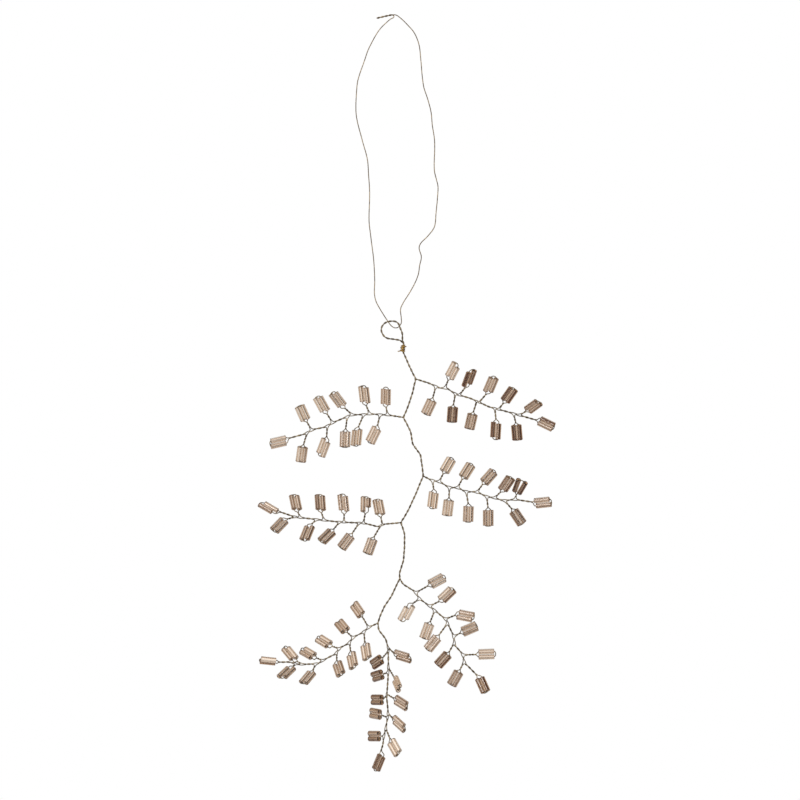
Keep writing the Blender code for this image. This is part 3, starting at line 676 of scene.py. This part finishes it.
class Route:
    """Path through points that bends close to each, measured along the straight lines between them."""

    def __init__(self, points, bend=SHORT_BEND):
        self.points = points
        self.bend = bend
        gaps = [end - start for start, end in zip(points, points[1:])]
        self.marks = [0.0]
        for gap in gaps:
            self.marks.append(self.marks[-1] + gap.length)
        self.length = self.marks[-1]
        ways = [gap.normalized() for gap in gaps]
        middle = [(before + after).normalized() for before, after in zip(ways, ways[1:])]
        self.slopes = [ways[0]] + middle + [ways[-1]]

    def place(self, distance):
        """Point at a distance. Past the end the path goes straight on."""
        number = min(bisect.bisect_right(self.marks, max(distance, 0.0)), len(self.points) - 1)
        start, end = self.points[number - 1], self.points[number]
        low, high = self.marks[number - 1], self.marks[number]
        gap = high - low
        way = (end - start) / gap
        past = distance - low
        left = high - distance
        leave = self.slopes[number - 1] - way
        arrive = self.slopes[number] - way
        return start + way * past + leave * self.pull(past, gap) - arrive * self.pull(left, gap)

    def pull(self, distance, gap):
        """How far a change of direction at a point still carries at a distance from it."""
        bend = min(gap, self.bend)
        share = min(max(distance / bend, 0.0), 1.0)
        return bend * share * (1 - share) ** 2

    def heading(self, distance):
        """Direction of the path at a distance, and that of its end past it."""
        reach = STEP / 2
        distance = min(max(distance, reach), self.length - reach)
        return (self.place(distance + reach) - self.place(distance - reach)).normalized()


def in_plane(point, depth=0.0):
    """Point of the XZ plane given in millimetres, moved back by a depth in metres."""
    return Vector((point[0] * MM, depth, point[1] * MM))


def direction(bearing, lean=0.0):
    """Unit vector at a bearing in the XZ plane, leaning towards the front."""
    turn = math.radians(bearing)
    tip = math.radians(lean)
    return Vector((math.cos(turn) * math.cos(tip), -math.sin(tip), math.sin(turn) * math.cos(tip)))


def left_of(axis):
    """Unit vector in the XZ plane to the left of an axis, seen from the front."""
    return Vector((-axis.z, 0, axis.x)).normalized()


def sloping(points, start_depth, end_depth):
    """Points whose depth changes evenly from the first to the last."""
    last = len(points) - 1
    return [in_plane(point, start_depth + (end_depth - start_depth) * step / last)
            for step, point in enumerate(points)]


def soft_step(share):
    """Share that starts and ends slowly."""
    return share * share * (3 - 2 * share)


def even_steps(length, most=STEP):
    """Shares from 0 up to, but without, 1, for steps of at most a length."""
    count = max(1, math.ceil(length / most))
    return [step / count for step in range(count)]


def twist(strands, route, start, end, turn, half_turn=HALF_TURN):
    """Adds a twisted stretch to two strands, without its last points, and returns the turn at its end.

    The turn goes on by a whole number of half turns, so that the strands end side by side as they began.
    """
    length = end - start
    if length < SHORTEST_RUN:
        return turn
    turns = 0.0
    if length > SHORTEST_TWIST:
        turns = max(1, round(length / half_turn)) * math.pi
    for share in even_steps(length):
        place = route.place(start + length * share)
        axis = route.heading(start + length * share)
        for strand, sign in zip(strands, (1, -1)):
            strand.append(Sample(place, left_of(axis), axis, turn + turns * share, sign * PAIR_RADIUS))
    return turn + turns


def bend(start, leave, end, arrive):
    """Points of a strand's bend between two places, without the last."""
    first = start + leave * OPENING_BEND
    last = end - arrive * OPENING_BEND
    points = []
    for share in even_steps((end - start).length, BEND_STEP):
        rest = 1 - share
        ends = start * rest ** 3 + end * share ** 3
        points.append(bare(ends + (first * rest + last * share) * (3 * rest * share)))
    return points


class Hairpin:
    """Stalk, bead pair and loop of one leaflet that stands on a foot."""

    def __init__(self, leaflet, foot, splay, loop):
        self.foot = foot
        self.stalk_axis = direction(leaflet.bearing, leaflet.lean)
        self.stalk = leaflet.stalk * MM
        self.near_end = foot + self.stalk_axis * self.stalk
        self.axis = direction(leaflet.heading, leaflet.lean)
        roll = Matrix.Rotation(math.radians(leaflet.spin), 3, self.axis)
        self.side = roll @ direction(leaflet.heading - 90)
        self.splay = splay * MM / BEAD_LENGTH
        left, right = (slide * MM for slide in leaflet.slides)
        self.spans = {
            LEFT: (left, left + BEAD_LENGTH),
            RIGHT: (right, right + BEAD_LENGTH * leaflet.share),
        }
        self.top = max(end for start, end in self.spans.values()) + loop * MM

    def spread(self, distance):
        """How far each leg stands from the pair's axis at a distance past the near end."""
        return BEAD_DIAMETER / 2 + self.splay * distance

    def strand(self, start, across):
        """Strand from a height on the stalk, out along one leg, round the loop and home by the other."""
        flat_side = (self.side - self.stalk_axis * self.side.dot(self.stalk_axis)).normalized()
        fork = max(self.stalk - FORK_LENGTH, start + (self.stalk - start) * LEAST_TWISTED)
        lead = math.atan2(self.stalk_axis.dot(across.cross(flat_side)), across.dot(flat_side))
        half_turns = round(((fork - start) / STALK_HALF_TURN * math.pi - lead) / math.pi)
        total = lead + half_turns * math.pi
        out = []
        for share in even_steps(fork - start):
            place = self.foot + self.stalk_axis * (start + (fork - start) * share)
            out.append(Sample(place, across, self.stalk_axis, total * share, PAIR_RADIUS))
        home = [sample._replace(spread=-sample.spread) for sample in out]
        hand = LEFT if half_turns % 2 else RIGHT
        out += self.leg(fork, flat_side, hand)
        home += self.leg(fork, flat_side, -hand)
        return out + home[-2::-1]

    def leg(self, fork, flat_side, hand):
        """Strand from the fork, through the bead on one hand, to the middle of the loop."""
        samples = []
        for share in even_steps(self.stalk - fork):
            place = self.foot + self.stalk_axis * (fork + (self.stalk - fork) * share)
            across = flat_side.lerp(self.side, share).normalized() * hand
            spread = PAIR_RADIUS + (self.spread(0.0) - PAIR_RADIUS) * soft_step(share)
            samples.append(Sample(place, across, self.stalk_axis, 0.0, spread))
        end = self.spans[hand][1]
        across = self.side * hand
        for share in even_steps(end, LEG_STEP):
            place = self.near_end + self.axis * end * share
            samples.append(Sample(place, across, self.axis, 0.0, self.spread(end * share)))
        for step in range(LOOP_STEPS + 1):
            angle = math.pi / 2 * step / LOOP_STEPS
            place = self.near_end + self.axis * (end + (self.top - end) * math.sin(angle))
            samples.append(Sample(place, across, self.axis, 0.0, self.spread(end) * math.cos(angle)))
        return samples

    def on_leg(self, hand, reach):
        """Point of a leg's middle line at a distance past the near end."""
        return self.near_end + self.axis * reach + self.side * hand * self.spread(reach)

    def beads(self, tones):
        """Each bead's middle, axis, side, hand, share of the full length, and tone."""
        found = []
        for (hand, (start, end)), tone in zip(self.spans.items(), tones):
            near = self.on_leg(hand, start)
            way = self.on_leg(hand, end) - near
            share = way.length / BEAD_LENGTH
            found.append((near + way / 2, way.normalized(), self.side, hand, share, tone))
        return found


def branch_strand(name, branch):
    """The one wire of a branch, from the stem to the tip and back, and the hairpins on it."""
    here = in_plane(branch.junction)
    route = Route([here] + [here + in_plane(point) for point in branch.rachis])
    places = [leaflet.place * MM for leaflet in branch.leaflets]
    hairpins = []
    for number, (leaflet, place) in enumerate(zip(branch.leaflets, places), 1):
        splay = SPLAYS.get((name, number), 0.0)
        loop = HIGH_LOOPS.get((name, number), LOOP_HEIGHT)
        hairpins.append(Hairpin(leaflet, route.place(place), splay, loop))
    strands = ([], [])
    turn = 0.0
    reached = 0.0
    for hairpin, place in zip(hairpins[:-1], places):
        reach = min([OPENING_REACH] + [abs(place - other) / 2 for other in places if other != place])
        turn = twist(strands, route, reached, place - reach, turn)
        open_leaflet(strands, route, hairpin, place, reach, turn)
        reached = place + reach
    tip = hairpins[-1]
    turn = twist(strands, route, reached, places[-1], turn)
    left = left_of(route.heading(places[-1])) * math.cos(turn)
    hand = RIGHT if left.dot(tip.side) > 0 else LEFT
    strands[0].extend(tip.leg(0.0, left * hand, hand))
    strands[1].extend(tip.leg(0.0, left * hand, -hand)[:-1])
    return strands[0] + strands[1][::-1], hairpins


def open_leaflet(strands, route, hairpin, place, reach, turn):
    """The strand on the leaflet's side leaves the twist and makes the leaflet. The other runs on."""
    left = left_of(route.heading(place))
    side = left if left.dot(hairpin.stalk_axis) > 0 else -left
    first_makes = math.cos(turn) * left.dot(side) > 0
    maker, runner = strands if first_makes else strands[::-1]
    start = route.place(place - reach)
    end = route.place(place + reach)
    way = route.heading(place)
    for share in even_steps(2 * reach):
        bow = PAIR_RADIUS + OPENING_BOW * math.sin(math.pi * share)
        runner.append(bare(start.lerp(end, share) - side * bow))
    height = min(OPENING_HEIGHT, hairpin.stalk * LEAST_TWISTED)
    across = (hairpin.stalk_axis * way.dot(hairpin.stalk_axis) - way).normalized()
    top = hairpin.foot + hairpin.stalk_axis * height
    up = top + across * PAIR_RADIUS
    down = top - across * PAIR_RADIUS
    maker.extend(bend(start + side * PAIR_RADIUS, way, up, hairpin.stalk_axis))
    maker.extend(hairpin.strand(height, across))
    maker.extend(bend(down, -hairpin.stalk_axis, end + side * PAIR_RADIUS, way)[1:])


def both(tone):
    """Tones of the left and the right bead."""
    return tone if isinstance(tone, tuple) else (tone, tone)


def bead_piece(name, hairpins, tones, number):
    """Piece of all the beads on a branch's hairpins."""
    beads = [bead for hairpin, tone in zip(hairpins, tones) for bead in hairpin.beads(both(tone))]
    middles, axes, sides, hands, shares, depths = zip(*beads)
    mesh = seed(middles, [], {
        "axis": ("FLOAT_VECTOR", axes), "side": ("FLOAT_VECTOR", sides), "hand": ("FLOAT", hands),
        "share": ("FLOAT", shares), "tone": ("FLOAT", depths)})
    return grow(name, mesh, BEADS, {
        "Diameter": BEAD_DIAMETER, "Bore": BEAD_BORE, "Length": BEAD_LENGTH, "Rim": BEAD_RIM,
        "Sides": BEAD_SIDES, "Seed": number, "Material": GLASS})


def build_branch(name, branch, number):
    """Wire and beads of one branch."""
    strand, hairpins = branch_strand(name, branch)
    wire = wire_piece(name + "_twisted_wire", [strand], STRAND / 2, BRASS)
    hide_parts(name + "_wire")
    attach(wire, name + "_branch")
    beads = bead_piece(name + "_glass_beads", hairpins, TONES[name], number)
    separate = range(JOINED_PAIRS + 1, len(hairpins) + 1)
    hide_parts(*[f"{name}_beads_{pair}" for pair in separate])
    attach(beads, name + "_branch")


def build_stem():
    """Eye and stem: one twisted pair from the cut end in the neck, round the eye and down to its end."""
    points = [in_plane(point, NECK_DEPTH) for point in EYE_END]
    points += sloping(EYE_CROSSING, NECK_DEPTH, 0.0)
    points += [in_plane(point) for point in EYE + STEM]
    route = Route(points)
    strands = ([], [])
    twist(strands, route, 0.0, route.length + STEM_LAP, 0.0)
    stem = wire_piece("stem_twisted_wire", strands, STRAND / 2, BRASS)
    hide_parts("stem_wire")
    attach(stem, "stem")


def build_binding():
    """Loose coil round the two runs of the neck, from the top down, and its tail."""
    half_depth = NECK_DEPTH / 2 + BINDING_REACH
    middle = Vector((NECK_X * MM, NECK_DEPTH / 2, BINDING_TOP * MM))
    points = []
    for step in range(round(BINDING_TURNS * BINDING_STEPS) + 1):
        turns = step / BINDING_STEPS
        half = int(turns * 2)
        before, after = LOOSENESS[half], LOOSENESS[half + 1]
        reach = BINDING_REACH * (before + (after - before) * soft_step(turns * 2 - half))
        angle = math.tau * turns
        points.append(middle + Vector(
            (reach * math.cos(angle), -half_depth * math.sin(angle), -BINDING_PITCH * turns * MM)))
    tail = [in_plane(point, -BINDING_REACH) for point in BINDING_TAIL]
    coil = [bare(point) for point in points + tail]
    binding = wire_piece("eye_binding_coil", [coil], BINDING_WIRE / 2, GOLD)
    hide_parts("eye_binding")
    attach(binding, "stem")


def build_hanger():
    """Fine wire from the stub, down in front of the eye, through it and up behind, back to the stub."""
    stub = Route([in_plane(point) for point in HANGER_STUB])
    ends = ([], [])
    twist(ends, stub, 0.0, stub.length, math.pi / 2, STALK_HALF_TURN)
    loop = [in_plane(HANGER_TOP, -HANGER_STUB_DEPTH)]
    loop += sloping(HANGER_LEFT, -HANGER_STUB_DEPTH, -HANGER_DEPTH)
    loop += [in_plane(point, -HANGER_DEPTH) for point in HANGER_FRONT]
    loop += sloping(HANGER_BIGHT, -BIGHT_DEPTH, BIGHT_DEPTH)
    loop += [in_plane(point, HANGER_DEPTH) for point in HANGER_BACK]
    loop += sloping(HANGER_RIGHT, HANGER_DEPTH, HANGER_STUB_DEPTH)
    loop += [in_plane(HANGER_TOP, HANGER_STUB_DEPTH)]
    run = Route(loop, LONG_BEND)
    middle = [bare(run.place(run.length * share)) for share in even_steps(run.length)]
    chain = ends[0] + middle + [bare(loop[-1])] + ends[1][::-1]
    hanger = wire_piece("hanger_kinked_wire", [chain], HANGER_WIRE / 2, HANGER_METAL)
    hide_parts("hanger_wire")
    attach(hanger, "hanger")


def build_stage():
    """Pale round floor below the ornament, fading out at its edge."""
    mesh = bpy.data.meshes.new("floor")
    angles = [math.tau * number / FLOOR_SIDES for number in range(FLOOR_SIDES)]
    ring = [(FLOOR_RADIUS * math.cos(angle), FLOOR_RADIUS * math.sin(angle), FLOOR_HEIGHT)
            for angle in angles]
    mesh.from_pydata(ring, [], [list(range(FLOOR_SIDES))])
    floor = bpy.data.objects.new("floor", mesh)
    bpy.context.scene.collection.objects.link(floor)
    material, nodes, shader = new_material("pale_floor")
    shader.inputs["Roughness"].default_value = FLOOR_ROUGHNESS
    shader.inputs["Base Color"].default_value = PALE_FLOOR
    clear = nodes.add("ShaderNodeBsdfTransparent")
    fade = nodes.radius(nodes.place()).ramp(*FLOOR_FADE)
    nodes.surface(fade, Value(nodes, shader), clear)
    mesh.materials.append(material)


def build_world():
    """White for the camera. Glass and metal see a dim warm backdrop, a bright front and a dim right."""
    world = bpy.data.worlds.new("studio")
    bpy.context.scene.world = world
    world.use_nodes = True
    nodes = Nodes(world.node_tree)
    background = world.node_tree.nodes["Background"]
    path = nodes.add("ShaderNodeLightPath")
    camera = path.output("Is Camera Ray")
    glossy = path.output("Is Glossy Ray")
    way = nodes.add("ShaderNodeTexCoord").output("Generated")
    parts = nodes.add("ShaderNodeSeparateXYZ", None, {0: way})
    behind = parts.output("Y").ramp(*BACKDROP_EDGE)
    right = parts.output("X").ramp(*RIGHT_EDGE)
    studio = behind * BACKDROP_LIGHT + (1 - behind) * (FRONT_LIGHT - RIGHT_SHADE * right)
    mirrored = glossy.most(path.output("Is Transmission Ray"))
    other = mirrored * studio + (1 - mirrored) * AMBIENT_LIGHT
    nodes.feed(background.inputs["Strength"], camera + (1 - camera) * other)
    nodes.feed(background.inputs["Color"], nodes.blend(glossy * behind, WHITE, WARM_BACKDROP))


def add_lamp(name, lamp):
    """Round lamp that faces the middle of the view."""
    light = bpy.data.lights.new(name, "AREA")
    light.shape = "DISK"
    light.size = lamp.size
    light.energy = lamp.power
    thing = bpy.data.objects.new(name, light)
    thing.location = lamp.place
    thing.rotation_euler = (VIEW_CENTRE - Vector(lamp.place)).to_track_quat("-Z", "Y").to_euler()
    thing.visible_camera = False
    thing.visible_transmission = False
    bpy.context.scene.collection.objects.link(thing)


def add_camera():
    """Camera far in front, so that the view is nearly flat."""
    lens = bpy.data.cameras.new("photograph")
    lens.lens = lens.sensor_width * CAMERA_DISTANCE / VIEW_WIDTH
    camera = bpy.data.objects.new("photograph", lens)
    camera.location = VIEW_CENTRE + FRONT * CAMERA_DISTANCE
    camera.rotation_euler = (math.pi / 2, 0, 0)
    bpy.context.scene.collection.objects.link(camera)
    bpy.context.scene.camera = camera


bpy.context.scene.view_settings.view_transform = "Standard"
add_camera()
build_world()
for name, lamp in LAMPS.items():
    add_lamp(name, lamp)
build_stage()

BRASS = worn_wire("antique_brass", DARK_BRASS, RUBBED_BRASS, patch=700, roughness=0.3)
GOLD = worn_wire("gold_binding", DARK_GOLD, RUBBED_GOLD, patch=900, roughness=0.25)
HANGER_METAL = worn_wire("hanger_metal", DARK_HANGER, RUBBED_HANGER, patch=500, roughness=0.3)
GLASS = champagne_glass()
STRANDS = strand_tree()
BEADS = bead_tree()

build_hanger()
build_stem()
build_binding()
for number, (name, branch) in enumerate(BRANCHES.items(), 1):
    build_branch(name, branch, number)
